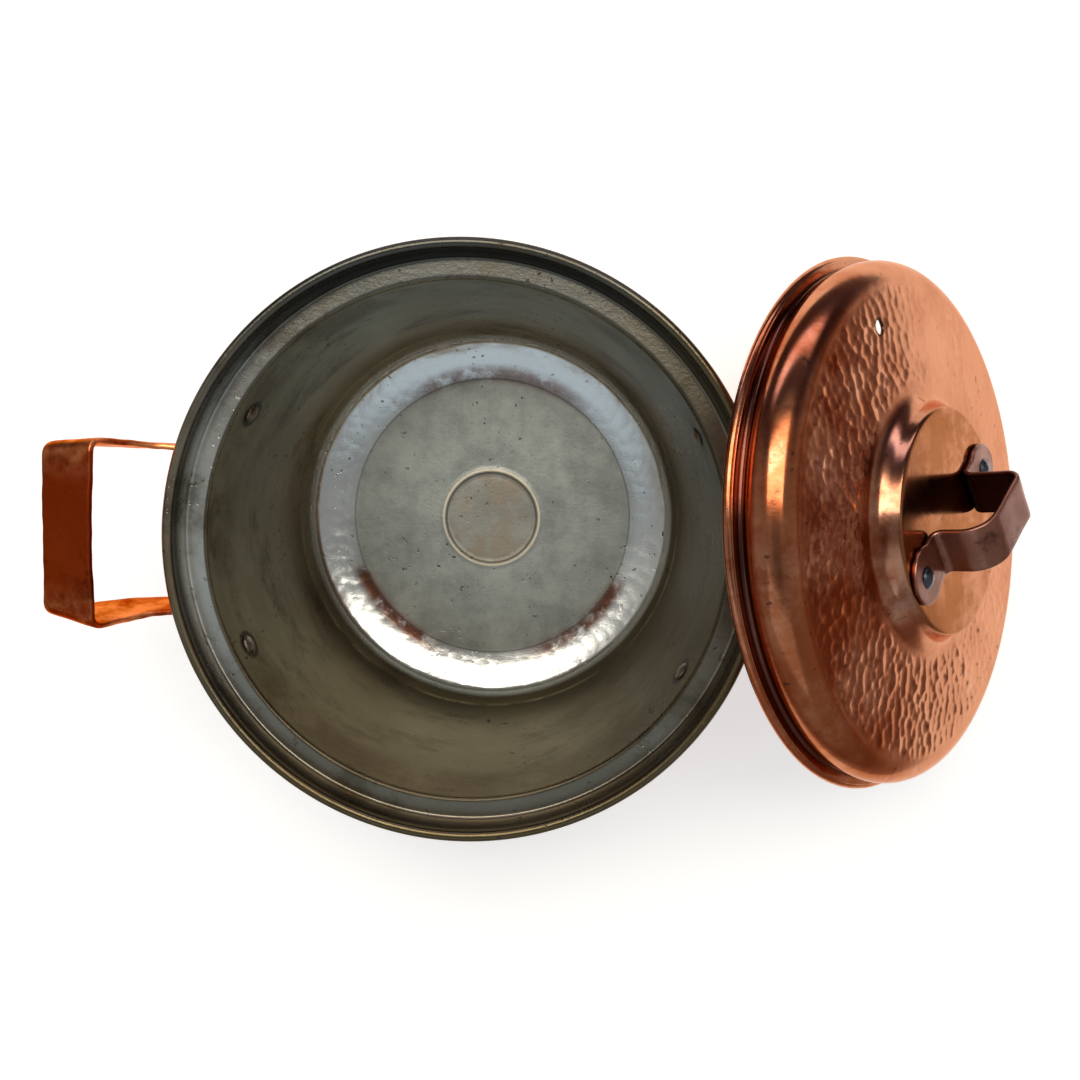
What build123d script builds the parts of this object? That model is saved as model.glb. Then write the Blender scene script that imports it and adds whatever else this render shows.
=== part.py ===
from build123d import *
import os
from math import asin, cos, radians, sin, tan

os.makedirs("parts", exist_ok=True)

# ---------------------------------------------------------------- pan
pan_height = 113.0
rim_radius = 110.0
sheet = 1.2
rim_wire_radius = 0.8
bead_radius = rim_wire_radius + sheet
floor_flat_radius = 64.4
floor_crease = 8.0
corner_wide_round = 47.0
corner_mid_slope = 28.0
corner_tight_round = 6.0
corner_steep_slope = 72.0
wall_lean = 7.5
ridge_height = 18.0
ridge_radius = 85.5
seat_height = 103.0
seat_lip_round = 1.4
seat_outer_radius = 103.4
roundel_radius = 22.3
roundel_bead = 0.7

# ------------------------------------------------- side handles, one each side
strap_thick = 2.2
strap_width = 23.0
foot_mid_height = 89.5
side_rivet_height = 91.0
foot_end_angle = 36.0
side_rivet_angle = 28.0
foot_start_angle = 22.0
foot_round = 6.0
leg_offset = 30.3
leg_start = 100.5
leg_bend_radius = 28.0
leg_rise = 70.0
bar_mid_x = 140.1
bar_mid_height = 121.0
bar_corner_radius = 4.5
bar_inner_half = 33.6
bar_outer_half = 31.0
bar_waist = 1.0
bar_corner_flare = 0.4

# ---------------------------------------------------------------- rivets
side_shank_radius = 2.4
side_head_radius = 3.9
side_head_height = 1.3
lid_shank_radius = 2.2
lid_head_radius = 4.2
lid_head_height = 1.7
shank_play = 0.05

# ---------------------------------------------------------------- lid
lid_radius = 101.0
lid_sheet = 1.0
lid_wire_radius = 0.7
lid_bead_radius = lid_wire_radius + lid_sheet
lid_groove_round = 1.4
lid_groove_turn = 35.0
lid_shoulder_round = 9.6
lid_panel_radius = 87.9
boss_radius = 42.0
boss_height = 31.6
boss_edge_round = 1.4
boss_side_angle = 70.0
boss_side_length = 3.0
boss_foot_round = 7.0
vent_radius = 2.7
vent_down = -22.5
vent_across = 72.5

lid_handle_angle = 28.0
lid_strap_thick = 1.9
lid_strap_width = 18.0
lid_handle_half = 41.4
lid_foot_radius = 10.6
lid_rivet_half = 32.2
lid_neck_half = 17.4
lid_arch_low = 19.4
lid_arch_high = 21.0
lid_handle_bend = 3.2
lid_arch_wide = 10.0
lid_arch_tight = 4.5

# lid leaning on the table beside the pan
lean = 48.6
lean_heading = 10.8
lid_out = 155.3
lid_out_heading = 5.5


# ================================================================ pan body
wall_slope = tan(radians(wall_lean))


def wall_inside(height):
    return ridge_radius + (height - ridge_height) * wall_slope


def wall_outside(height):
    return wall_inside(height) + sheet / cos(radians(wall_lean))


bead_centre = (rim_radius - bead_radius, pan_height - bead_radius)
curl_start = 180
curl_turn = -262


def pan_skin(depth):
    """One surface of the sheet, from the middle of the floor to the curled rim."""
    floor_top = sheet - depth
    wall_shift = depth / cos(radians(wall_lean))
    lip_round = seat_lip_round - depth
    seat_top = seat_height - depth
    lip_start_height = seat_height - seat_lip_round
    crease = radians(floor_crease)
    floor_end = (floor_flat_radius + depth * tan(crease / 2), floor_top)
    wall_foot = (ridge_radius + wall_shift, ridge_height)
    wall_head = (wall_inside(lip_start_height) + wall_shift, lip_start_height)
    Line((0, floor_top), floor_end)
    upward = (cos(crease), sin(crease))
    wide = JernArc(floor_end, upward, corner_wide_round + depth, corner_mid_slope - floor_crease)
    tight = JernArc(wide @ 1, wide % 1, corner_tight_round + depth, corner_steep_slope - corner_mid_slope)
    Line(tight @ 1, wall_foot)
    wall = Line(wall_foot, wall_head)
    lip = TangentArc(wall_head, (wall_head[0] + lip_round, seat_top), tangent=wall % 1)
    seat_end = (seat_outer_radius, seat_top)
    Line(lip @ 1, seat_end)
    cove_radius = 1.0 + depth
    cove = TangentArc(seat_end, (seat_outer_radius + cove_radius, seat_top + cove_radius), tangent=(1, 0))
    band_head = (bead_centre[0] - bead_radius + depth, bead_centre[1])
    Spline(cove @ 1, band_head, tangents=((0, 1), (0, 1)))
    return CenterArc(bead_centre, bead_radius - depth, curl_start, curl_turn)


with BuildPart() as pan_blank:
    with BuildSketch(Plane.XZ):
        with BuildLine():
            inside_curl = pan_skin(0)
            outside_curl = pan_skin(sheet)
            Line((0, 0), (0, sheet))
            Line(inside_curl @ 1, outside_curl @ 1)
        make_face()
    revolve(axis=Axis.Z)
    with BuildSketch(Plane.XZ):
        with Locations((roundel_radius, sheet)):
            Circle(roundel_bead)
    revolve(axis=Axis.Z)


# ================================================================ rim wire
with BuildPart() as rim_wire:
    with BuildSketch(Plane.XZ):
        with Locations(bead_centre):
            Circle(rim_wire_radius)
    revolve(axis=Axis.Z)


# ================================================================ side handles
foot_top = foot_mid_height + strap_width / 2
foot_bottom = foot_mid_height - strap_width / 2
half_strap = strap_thick / 2
strap_overlap = 0.15


def on_wall(angle, height):
    """Middle of the strap where it lies against the pan wall."""
    reach = wall_outside(height) + half_strap - strap_overlap
    return Vector(reach * cos(radians(angle)), reach * sin(radians(angle)), height)


def foot_pair(angle):
    return on_wall(angle, foot_top), on_wall(angle, foot_bottom)


def leg_pair(step):
    """Edges of the leg: it bends upwards within its own plane, then runs straight to the bar."""
    turn = radians(leg_rise)
    straight = (leg_top_height - foot_mid_height - leg_bend_radius * (1 - cos(turn))) / sin(turn)
    arc_length = leg_bend_radius * turn
    travel = step * (arc_length + straight)
    angle = min(travel, arc_length) / leg_bend_radius
    beyond = max(travel - arc_length, 0)
    reach = leg_bend_radius * sin(angle) + beyond * cos(angle)
    climb = leg_bend_radius * (1 - cos(angle)) + beyond * sin(angle)
    spare = leg_top_x - leg_start - leg_bend_radius * sin(turn) - straight * cos(turn)
    middle_x = leg_start + reach + spare * step
    middle_z = foot_mid_height + climb
    half = strap_width / 2
    inner_y = leg_offset + (bar_inner_half - leg_offset) * step
    outer_y = leg_offset + (bar_outer_half - leg_offset) * step
    inner = Vector(middle_x - half * sin(angle), inner_y, middle_z + half * cos(angle))
    outer = Vector(middle_x + half * sin(angle), outer_y, middle_z - half * cos(angle))
    return inner, outer


def turn_pair(step):
    """Edges on the bend between the foot and the leg."""
    pair = []
    for start, end in zip(foot_pair(foot_start_angle), leg_pair(0)):
        along = Vector(sin(radians(foot_start_angle)), -cos(radians(foot_start_angle)), 0)
        gap = (start.Y - end.Y) / cos(radians(foot_start_angle))
        knee = start + along * gap
        near = start * (1 - step) ** 2 + knee * 2 * step * (1 - step) + end * step ** 2
        pair.append(near)
    return tuple(pair)


def corner_pair(step):
    """Edges on the bend between the leg and the bar."""
    inner, outer = leg_pair(1)
    up = Vector(cos(radians(leg_rise)), 0, sin(radians(leg_rise)))
    angle = radians(90 * step)
    move = up * (bar_corner_radius * sin(angle)) - Vector(0, bar_corner_radius * (1 - cos(angle)), 0)
    flare = (inner - outer).normalized() * (bar_corner_flare * sin(angle))
    return inner + move + flare, outer + move


def bar_pair(step):
    """Edges along the bar, from one corner to the middle; it narrows slightly to a waist."""
    inner, outer = corner_pair(1)
    across = (outer - inner).normalized()
    waist = bar_waist * sin(radians(90 * step))
    inner = Vector(inner.X, inner.Y * (1 - step), inner.Z) + Vector(across.X, 0, across.Z) * waist
    outer = Vector(outer.X, outer.Y * (1 - step), outer.Z)
    return inner, outer


leg_top_x = bar_mid_x - bar_corner_radius * cos(radians(leg_rise))
leg_top_height = bar_mid_height - bar_corner_radius * sin(radians(leg_rise))

half_strap_pairs = []
for angle in (foot_end_angle, 31.5, side_rivet_angle, 25.0):
    half_strap_pairs.append(foot_pair(angle))
for step in (0, 0.25, 0.5, 0.75):
    half_strap_pairs.append(turn_pair(step))
for step in (0, 0.14, 0.28, 0.42, 0.56, 0.7, 0.85):
    half_strap_pairs.append(leg_pair(step))
for step in (0, 0.25, 0.5, 0.75):
    half_strap_pairs.append(corner_pair(step))
for step in (0, 0.35, 0.7):
    half_strap_pairs.append(bar_pair(step))

strap_pairs = half_strap_pairs + [bar_pair(1)]
for inner, outer in reversed(half_strap_pairs):
    strap_pairs.append((Vector(inner.X, -inner.Y, inner.Z), Vector(outer.X, -outer.Y, outer.Z)))

strap_middles = [(inner + outer) * 0.5 for inner, outer in strap_pairs]
strap_planes = []
for index, (inner, outer) in enumerate(strap_pairs):
    before = strap_middles[max(index - 1, 0)]
    after = strap_middles[min(index + 1, len(strap_middles) - 1)]
    across = (outer - inner).normalized()
    along = after - before
    along = (along - across * along.dot(across)).normalized()
    strap_planes.append(Plane(origin=strap_middles[index], x_dir=across, z_dir=along))

with BuildPart() as handle_blank:
    for index, (inner, outer) in enumerate(strap_pairs):
        with BuildSketch(strap_planes[index]):
            Rectangle((outer - inner).length, strap_thick)
    loft(ruled=True)
    end_edges = handle_blank.edges().filter_by(lambda edge: abs(edge.length - strap_thick) < 0.01)
    fillet(end_edges.sort_by(Axis.Y)[:2] + end_edges.sort_by(Axis.Y)[-2:], radius=foot_round)


cone_low = foot_bottom - 12
cone_high = seat_height - 1

with BuildPart() as wall_cone:
    with BuildSketch(Plane.XZ):
        with BuildLine():
            Polyline(
                (0, cone_low),
                (wall_outside(cone_low), cone_low),
                (wall_outside(cone_high), cone_high),
                (0, cone_high),
                close=True,
            )
        make_face()
    revolve(axis=Axis.Z)


# ================================================================ side rivets
def side_rivet_plane(angle):
    """Plane on the inside of the wall at a rivet, facing straight out through the wall."""
    lean_angle = radians(wall_lean)
    heading = radians(angle)
    reach = wall_inside(side_rivet_height)
    origin = (reach * cos(heading), reach * sin(heading), side_rivet_height)
    outward = (cos(lean_angle) * cos(heading), cos(lean_angle) * sin(heading), -sin(lean_angle))
    return Plane(origin=origin, x_dir=(-sin(heading), cos(heading), 0), z_dir=outward)


def section_plane(plane):
    """Plane that holds the axis of a turned piece: local Y runs along the axis."""
    return Plane(origin=plane.origin, x_dir=plane.x_dir, z_dir=-plane.y_dir)


def dome_middle(head, seat, rise):
    """Point halfway round a round-topped head, so that the dome is part of a ball centred on the axis."""
    ball = (head ** 2 + rise ** 2) / (2 * abs(rise))
    half_turn = asin(head / ball) / 2
    side = 1 if rise > 0 else -1
    return ball * sin(half_turn), seat + rise - side * ball * (1 - cos(half_turn))


def turned_rivet(plane, grip, shank, head, inner_rise, outer_rise, stand_off):
    """Rivet with a shallow dome on each side of what it holds together."""
    inner_seat = -stand_off
    outer_top = (0, grip + outer_rise)
    inner_top = (0, inner_seat - inner_rise)
    with BuildPart() as rivet:
        with BuildSketch(section_plane(plane)):
            with BuildLine():
                ThreePointArc(outer_top, dome_middle(head, grip, outer_rise), (head, grip))
                Polyline((head, grip), (shank, grip), (shank, inner_seat), (head, inner_seat))
                ThreePointArc((head, inner_seat), dome_middle(head, inner_seat, -inner_rise), inner_top)
                Line(inner_top, outer_top)
            make_face()
        revolve(axis=Axis(plane.origin, plane.z_dir))
    return rivet


def shank_hole(planes, radius, reach):
    with BuildPart() as pins:
        for plane in planes:
            with BuildSketch(plane.offset(-reach)):
                Circle(radius)
        extrude(amount=2 * reach)
    return pins


right_planes = [side_rivet_plane(side_rivet_angle), side_rivet_plane(-side_rivet_angle)]
left_planes = [side_rivet_plane(180 - side_rivet_angle), side_rivet_plane(180 + side_rivet_angle)]
side_grip = sheet + strap_thick - strap_overlap
side_pins = shank_hole(right_planes + left_planes, side_shank_radius, 12)

with BuildPart() as pot_body:
    add(pan_blank.part)
    add(side_pins.part, mode=Mode.SUBTRACT)

with BuildPart() as handle_right:
    add(handle_blank.part)
    add(wall_cone.part, mode=Mode.SUBTRACT)
    add(side_pins.part, mode=Mode.SUBTRACT)

with BuildPart() as handle_left:
    add(handle_right.part)
    mirror(about=Plane.YZ, mode=Mode.REPLACE)

side_rivets = {}
rivet_places = (
    ("rivet_right_back", right_planes[0]),
    ("rivet_right_front", right_planes[1]),
    ("rivet_left_back", left_planes[0]),
    ("rivet_left_front", left_planes[1]),
)
for name, plane in rivet_places:
    side_rivets[name] = turned_rivet(
        plane,
        side_grip,
        side_shank_radius - shank_play,
        side_head_radius,
        side_head_height,
        side_head_height,
        side_head_radius ** 2 / (2 * wall_inside(side_rivet_height)) + 0.01,
    )


# ================================================================ lid
lean_angle = radians(lean)
lean_turn = radians(lean_heading)
lid_normal = Vector(sin(lean_angle) * cos(lean_turn), sin(lean_angle) * sin(lean_turn), cos(lean_angle))
lid_downhill = Vector(cos(lean_angle) * cos(lean_turn), cos(lean_angle) * sin(lean_turn), -sin(lean_angle))
lid_bead_ring = lid_radius - lid_bead_radius
lid_lift_off = lid_bead_ring * sin(lean_angle) - lid_bead_radius * cos(lean_angle) + lid_bead_radius
lid_origin = Vector(
    lid_out * cos(radians(lid_out_heading)),
    lid_out * sin(radians(lid_out_heading)),
    lid_lift_off,
)
lid_plane = Plane(origin=lid_origin, x_dir=lid_downhill, z_dir=lid_normal)
lid_axis = Axis(lid_plane.origin, lid_plane.z_dir)

lid_bead_centre = (lid_bead_ring, lid_bead_radius)
lid_bead_top = 2 * lid_bead_radius
groove_turn = radians(lid_groove_turn)
groove_drop = lid_groove_round * (1 + sin(groove_turn))
shoulder_centre = (lid_panel_radius, lid_bead_top + groove_drop + lid_shoulder_round * sin(groove_turn))


def lid_skin(depth):
    """One surface of the lid sheet, from the middle of the boss to the curled brim."""
    top = boss_height - depth
    plateau = Line((0, top), (boss_radius - boss_edge_round, top))
    edge = JernArc(plateau @ 1, (1, 0), boss_edge_round - depth, -boss_side_angle)
    side = Line(edge @ 1, edge @ 1 + (edge % 1) * boss_side_length)
    foot = JernArc(side @ 1, side % 1, boss_foot_round + depth, boss_side_angle - 3)
    shoulder = CenterArc(shoulder_centre, lid_shoulder_round - depth, 90, -90 - lid_groove_turn)
    Line(foot @ 1, shoulder @ 0)
    groove = JernArc(shoulder @ 1, shoulder % 1, lid_groove_round + depth, 90 + lid_groove_turn)
    Line(groove @ 1, (lid_bead_ring, lid_bead_top - depth))
    return CenterArc(lid_bead_centre, lid_bead_radius - depth, 90, curl_turn)


lid_section = section_plane(lid_plane)
with BuildPart() as lid_blank:
    with BuildSketch(lid_section):
        with BuildLine():
            lid_outer_curl = lid_skin(0)
            lid_inner_curl = lid_skin(lid_sheet)
            Line((0, boss_height - lid_sheet), (0, boss_height))
            Line(lid_outer_curl @ 1, lid_inner_curl @ 1)
        make_face()
    revolve(axis=lid_axis)

with BuildPart() as lid_wire:
    with BuildSketch(lid_section):
        with Locations(lid_bead_centre):
            Circle(lid_wire_radius)
    revolve(axis=lid_axis)

# ================================================================ lid handle
boss_plane = lid_plane.offset(boss_height)
strap_turn = radians(lid_handle_angle)
strap_run = boss_plane.x_dir * cos(strap_turn) + boss_plane.y_dir * sin(strap_turn)
strap_plane = Plane(origin=boss_plane.origin, x_dir=strap_run, z_dir=boss_plane.z_dir)
arch_plane = section_plane(strap_plane)
strap_mid = lid_strap_thick / 2
lid_foot_middle = lid_handle_half - lid_foot_radius
with BuildPart() as lid_strap_blank:
    with BuildSketch(arch_plane):
        with BuildLine():
            Polyline(
                (-lid_handle_half, strap_mid),
                (-lid_neck_half, strap_mid),
                (-lid_neck_half, lid_arch_low),
                (lid_neck_half - 0.6, lid_arch_high),
                (lid_neck_half - 0.6, strap_mid),
                (lid_handle_half, strap_mid),
            )
            bends = vertices().sort_by(Axis.X)
            fillet(bends[1:5].filter_by(lambda corner: corner.Y < 5), radius=lid_handle_bend)
            fillet(vertices().sort_by(Axis.Y)[-1], radius=lid_arch_tight)
            low_bend = vertices().filter_by(lambda corner: abs(corner.Y - lid_arch_low) < 0.01)
            fillet(low_bend, radius=lid_arch_wide)
        trace(line_width=lid_strap_thick)
    extrude(amount=lid_foot_radius, both=True)
    with BuildSketch(strap_plane):
        Rectangle(2 * lid_foot_middle, lid_strap_width)
        with Locations((-lid_foot_middle, 0), (lid_foot_middle, 0)):
            Circle(lid_foot_radius)
    extrude(amount=40, mode=Mode.INTERSECT)

lid_rivet_planes = []
for along in (-lid_rivet_half, lid_rivet_half):
    centre = strap_plane.origin + strap_run * along - strap_plane.z_dir * lid_sheet
    lid_rivet_planes.append(Plane(origin=centre, x_dir=strap_run, z_dir=strap_plane.z_dir))
lid_pins = shank_hole(lid_rivet_planes, lid_shank_radius, 8)

with BuildPart() as lid_shell:
    add(lid_blank.part)
    add(lid_pins.part, mode=Mode.SUBTRACT)
    with BuildSketch(lid_plane):
        with Locations((vent_down, vent_across)):
            Circle(vent_radius)
    extrude(amount=boss_height, mode=Mode.SUBTRACT)

with BuildPart() as lid_handle:
    add(lid_strap_blank.part)
    add(lid_pins.part, mode=Mode.SUBTRACT)

lid_rivets = {}
for name, plane in zip(("lid_rivet_upper", "lid_rivet_lower"), lid_rivet_planes):
    lid_rivets[name] = turned_rivet(
        plane,
        lid_sheet + lid_strap_thick,
        lid_shank_radius - shank_play,
        lid_head_radius,
        lid_head_height * 0.6,
        lid_head_height,
        0,
    )


# ================================================================ named pieces
pieces = {
    "pot_body": pot_body,
    "rim_wire": rim_wire,
    "handle_left": handle_left,
    "handle_right": handle_right,
    "lid_shell": lid_shell,
    "lid_wire": lid_wire,
    "lid_handle": lid_handle,
}
pieces.update(side_rivets)
pieces.update(lid_rivets)
for name, piece in pieces.items():
    piece.part.label = name
    export_step(piece.part, "parts/" + name + ".step")
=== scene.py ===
from math import asin, atan2, ceil, cos, degrees, hypot, pi, radians, sin, sqrt, tan

import bmesh
import bpy
import numpy as np
from mathutils import Matrix, Vector


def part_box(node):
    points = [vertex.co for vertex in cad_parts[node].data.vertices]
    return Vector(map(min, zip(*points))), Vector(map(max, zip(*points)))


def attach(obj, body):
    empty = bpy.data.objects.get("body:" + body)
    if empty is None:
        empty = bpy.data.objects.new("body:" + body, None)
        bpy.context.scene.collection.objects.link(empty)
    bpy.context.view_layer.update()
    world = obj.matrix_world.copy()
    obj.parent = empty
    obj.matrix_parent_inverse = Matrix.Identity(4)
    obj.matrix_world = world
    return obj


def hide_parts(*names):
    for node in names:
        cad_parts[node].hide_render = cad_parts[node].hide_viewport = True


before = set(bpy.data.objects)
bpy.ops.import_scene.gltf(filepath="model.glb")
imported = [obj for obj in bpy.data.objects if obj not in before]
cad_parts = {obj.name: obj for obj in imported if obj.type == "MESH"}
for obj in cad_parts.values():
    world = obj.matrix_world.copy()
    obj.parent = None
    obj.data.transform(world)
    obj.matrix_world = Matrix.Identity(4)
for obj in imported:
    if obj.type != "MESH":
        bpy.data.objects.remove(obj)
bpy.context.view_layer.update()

MM = 0.001

# ------------------------------------------------------------------ sizes, in mm, as the CAD has them
pan_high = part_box("pot_body")[1]
RIM = pan_high.x / MM
TOP = pan_high.z / MM
SHEET = 1.2
WIRE = 0.8
WIRE_GAP = 0.02
BEAD = WIRE + SHEET
LEAN_OUT = radians(7.5)
RIDGE_Z = 18.0
RIDGE_R = 85.5
SEAT_Z = 103.0
SEAT_R = 103.4
SEAT_ROUND = 1.0
LIP = 1.4
FLOOR_R = 64.4
CREASE = 8.0
CORNER_WIDE = 47.0
MID_SLOPE = 28.0
CORNER_TIGHT = 6.0
STEEP_SLOPE = 72.0
ROUNDEL_R = 22.3

RIVET_Z = 91.0
RIVET_ANGLE = 28.0
rivet_angles = {
    "right_back": RIVET_ANGLE,
    "right_front": -RIVET_ANGLE,
    "left_back": 180 - RIVET_ANGLE,
    "left_front": 180 + RIVET_ANGLE,
}

LID_R = 101.0
LID_SHEET = 1.0
LID_WIRE = 0.7
LID_BEAD = LID_WIRE + LID_SHEET
BOSS_R = 42.0
BOSS_H = 31.6
VENT_R = 2.7
VENT_AT = (-22.5, 72.5, 21.2)
LEAN = radians(48.6)
HEADING = radians(10.8)
n_lid = Vector((sin(LEAN) * cos(HEADING), sin(LEAN) * sin(HEADING), cos(LEAN)))
x_lid = Vector((cos(LEAN) * cos(HEADING), cos(LEAN) * sin(HEADING), -sin(LEAN)))
y_lid = n_lid.cross(x_lid)
LID_OUT = 155.3
LID_OUT_HEADING = radians(5.5)
lid_ring = LID_R - LID_BEAD
lid_zero = Vector((
    LID_OUT * cos(LID_OUT_HEADING),
    LID_OUT * sin(LID_OUT_HEADING),
    lid_ring * sin(LEAN) - LID_BEAD * cos(LEAN) + LID_BEAD,
))


def wall_r(z):
    """Inner radius of the pan's wall at a height."""
    return RIDGE_R + (z - RIDGE_Z) * tan(LEAN_OUT)


# ------------------------------------------------------------------ node helpers
class Nodes:
    """Adds nodes to a tree; what goes into a node can be a number, a colour or another node's output."""

    def __init__(self, tree):
        self.tree = tree
        self.tree.nodes.clear()

    def put(self, socket, value):
        """Links a socket's value in, or sets a plain one."""
        if isinstance(value, bpy.types.NodeSocket):
            self.tree.links.new(value, socket)
        elif value is not None:
            if isinstance(value, (tuple, list)) and len(value) == 3 and socket.type == "RGBA":
                value = (*value, 1.0)
            socket.default_value = value

    def node(self, kind, **values):
        made = self.tree.nodes.new("ShaderNode" + kind)
        for key, value in values.items():
            self.put(made.inputs[key], value)
        return made

    def math(self, operation, a, b=0.0, clamp=False):
        made = self.node("Math")
        made.operation = operation
        made.use_clamp = clamp
        self.put(made.inputs[0], a)
        self.put(made.inputs[1], b)
        return made.outputs[0]

    def times(self, *values):
        """Product of two or more values."""
        made = values[0]
        for value in values[1:]:
            made = self.math("MULTIPLY", made, value)
        return made

    def ramp(self, value, low, high, out_low=0.0, out_high=1.0, smooth=True):
        made = self.node("MapRange")
        made.interpolation_type = "SMOOTHSTEP" if smooth else "LINEAR"
        for i, v in enumerate((value, low, high, out_low, out_high)):
            self.put(made.inputs[i], v)
        return made.outputs[0]

    def band(self, value, start, end, soft):
        """1 between start and end, fading over soft."""
        up = self.ramp(value, start - soft, start + soft)
        down = self.ramp(value, end - soft, end + soft, 1.0, 0.0)
        return self.times(up, down)

    def mix(self, factor, a, b):
        made = self.node("Mix")
        made.data_type = "RGBA"
        self.put(made.inputs[0], factor)
        self.put(made.inputs[6], a)
        self.put(made.inputs[7], b)
        return made.outputs[2]

    def paint(self, under, over, mask, amount=None):
        """Colour over laid on colour under where the mask is, by the amount."""
        return self.mix(mask if amount is None else self.times(mask, amount), under, over)


class Graph(Nodes):
    """A material with one shader."""

    def __init__(self, name, own=False):
        self.material = bpy.data.materials.new(name)
        self.material.use_nodes = True
        super().__init__(self.material.node_tree)
        out = self.node("OutputMaterial")
        self.bsdf = self.node("BsdfPrincipled")
        self.tree.links.new(self.bsdf.outputs[0], out.inputs[0])
        if own:
            kept = self.node("Attribute")
            kept.attribute_name = "own"
            self.coords = kept.outputs["Vector"]
        else:
            self.coords = self.node("TexCoord").outputs["Object"]

    def noise(self, scale, detail=4.0, rough=0.55, stretch=None, offset=0.0):
        place = self.coords
        if stretch or offset:
            mapping = self.node("Mapping", Vector=place)
            mapping.inputs["Location"].default_value = (offset, offset * 0.7, offset * 1.3)
            mapping.inputs["Scale"].default_value = stretch or (1, 1, 1)
            place = mapping.outputs[0]
        made = self.node("TexNoise", Vector=place, Scale=scale, Detail=detail, Roughness=rough)
        return made.outputs["Fac"]

    def bump(self, height, strength, distance=0.0003, normal=None):
        made = self.node("Bump", Strength=strength, Distance=distance, Height=height, Normal=normal)
        return made.outputs[0]

    def distance(self, place):
        """Distance in metres from a place given in mm."""
        made = self.node("VectorMath")
        made.operation = "DISTANCE"
        self.put(made.inputs[0], self.coords)
        made.inputs[1].default_value = [v * MM for v in place]
        return made.outputs["Value"]

    def ring(self):
        """Distance from the piece's own upright axis and height along it in mm, then x and y in metres."""
        x, y, z = self.node("SeparateXYZ", Vector=self.coords).outputs
        flat = self.math("SQRT", self.math("ADD", self.math("POWER", x, 2.0), self.math("POWER", y, 2.0)))
        return self.times(flat, 1000.0), self.times(z, 1000.0), x, y

    def edges(self, low, high, out_low=0.0, out_high=1.0):
        """Mask of the sharp edges, or of the hollows if it runs the other way."""
        return self.ramp(self.node("NewGeometry").outputs["Pointiness"], low, high, out_low, out_high)

    def metal(self, color, rough, normal, tint=None):
        self.put(self.bsdf.inputs["Base Color"], color)
        self.bsdf.inputs["Metallic"].default_value = 1.0
        self.put(self.bsdf.inputs["Specular Tint"], tint)
        self.put(self.bsdf.inputs["Roughness"], rough)
        self.put(self.bsdf.inputs["Normal"], normal)
        return self.material


# ------------------------------------------------------------------ geometry helpers
FLAT_POINTS = 13
CORNER_POINTS = 5


def in_scene(name, data):
    """New object with the given data, in the scene."""
    made = bpy.data.objects.new(name, data)
    bpy.context.scene.collection.objects.link(made)
    return made


def smooth_piece(name, mesh):
    mesh.polygons.foreach_set("use_smooth", [True] * len(mesh.polygons))
    mesh.validate()
    return in_scene(name, mesh)


def line(p, q, step):
    count = max(2, int(ceil(hypot(q[0] - p[0], q[1] - p[1]) / step)) + 1)
    t = np.linspace(0, 1, count)[:, None]
    return np.array(p)[None] * (1 - t) + np.array(q)[None] * t


def arc(centre, radius, start, end, step):
    count = max(3, int(ceil(abs(radians(end - start)) * radius / step)) + 1)
    a = np.radians(np.linspace(start, end, count))
    return np.stack([centre[0] + radius * np.cos(a), centre[1] + radius * np.sin(a)], 1)


def bezier(p, c, q, count):
    t = np.linspace(0, 1, count)[:, None]
    return np.array(p) * (1 - t) ** 2 + np.array(c) * 2 * t * (1 - t) + np.array(q) * t ** 2


def join(*runs):
    made = [runs[0]]
    for run in runs[1:]:
        gap = np.hypot(*(run[0] - made[-1][-1]))
        made.append(run[1:] if gap < 1e-4 else run)
    return np.concatenate(made)


def smooth_step(x, low, high):
    t = np.clip((x - low) / (high - low), 0, 1)
    return t * t * (3 - 2 * t)


def bulge(x, middle, width):
    """1 at the middle, falling off smoothly to both sides."""
    return np.exp(-((x - middle) / width) ** 2)


def hammer(u, reach, theta, start, end, pitch, across, ball, seed, jitter=0.3, uneven=0.05, fade=3.0):
    """Height in mm of overlapping hammer blows over rings from start to end, with creases between them.

    u is the place along the skin and reach the radius there, both in mm and rising; each blow is a hollow of
    a ball of that radius, about across mm wide, in rows pitch mm apart.
    """
    rng = np.random.default_rng(seed)
    rows = max(2, int(round((end - start) / pitch)) + 3)
    middles = start + (np.arange(rows) - 1) * pitch
    reach_at = np.interp(middles, u, reach)
    counts = np.maximum(3, np.round(2 * pi * reach_at / across)).astype(int)
    widest = counts.max()
    move_u = rng.uniform(-jitter, jitter, (rows, widest)) * pitch
    move_t = rng.uniform(-jitter, jitter, (rows, widest))
    lift = rng.uniform(0, uneven, (rows, widest))
    bend = rng.uniform(0.7, 1.5, (rows, widest)) / (2 * ball)
    phase = rng.uniform(0, 1, rows)
    uu = np.repeat(u[:, None], len(theta), 1)
    rr = np.repeat(np.maximum(reach, 1.0)[:, None], len(theta), 1)
    tt = np.repeat(theta[None], len(u), 0)
    best = np.full(uu.shape, 1e9)
    row = np.round((uu - middles[0]) / pitch).astype(int)
    for down in (-1, 0, 1):
        k = np.clip(row + down, 0, rows - 1)
        n = counts[k]
        column = np.floor(tt / (2 * pi) * n - phase[k]).astype(int)
        for side in (-1, 0, 1):
            j = (column + side) % n
            centre = (column + side + 0.5 + phase[k] + move_t[k, j]) / n * 2 * pi
            d2 = (uu - middles[k] - move_u[k, j]) ** 2 + (rr * (tt - centre)) ** 2
            best = np.minimum(best, d2 * bend[k, j] + lift[k, j])
    edge = smooth_step(uu, start - fade, start + fade) * (1 - smooth_step(uu, end - fade, end + fade))
    inside = (uu > start) & (uu < end)
    return (best - 0.5 * best[inside].mean()) * edge


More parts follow.
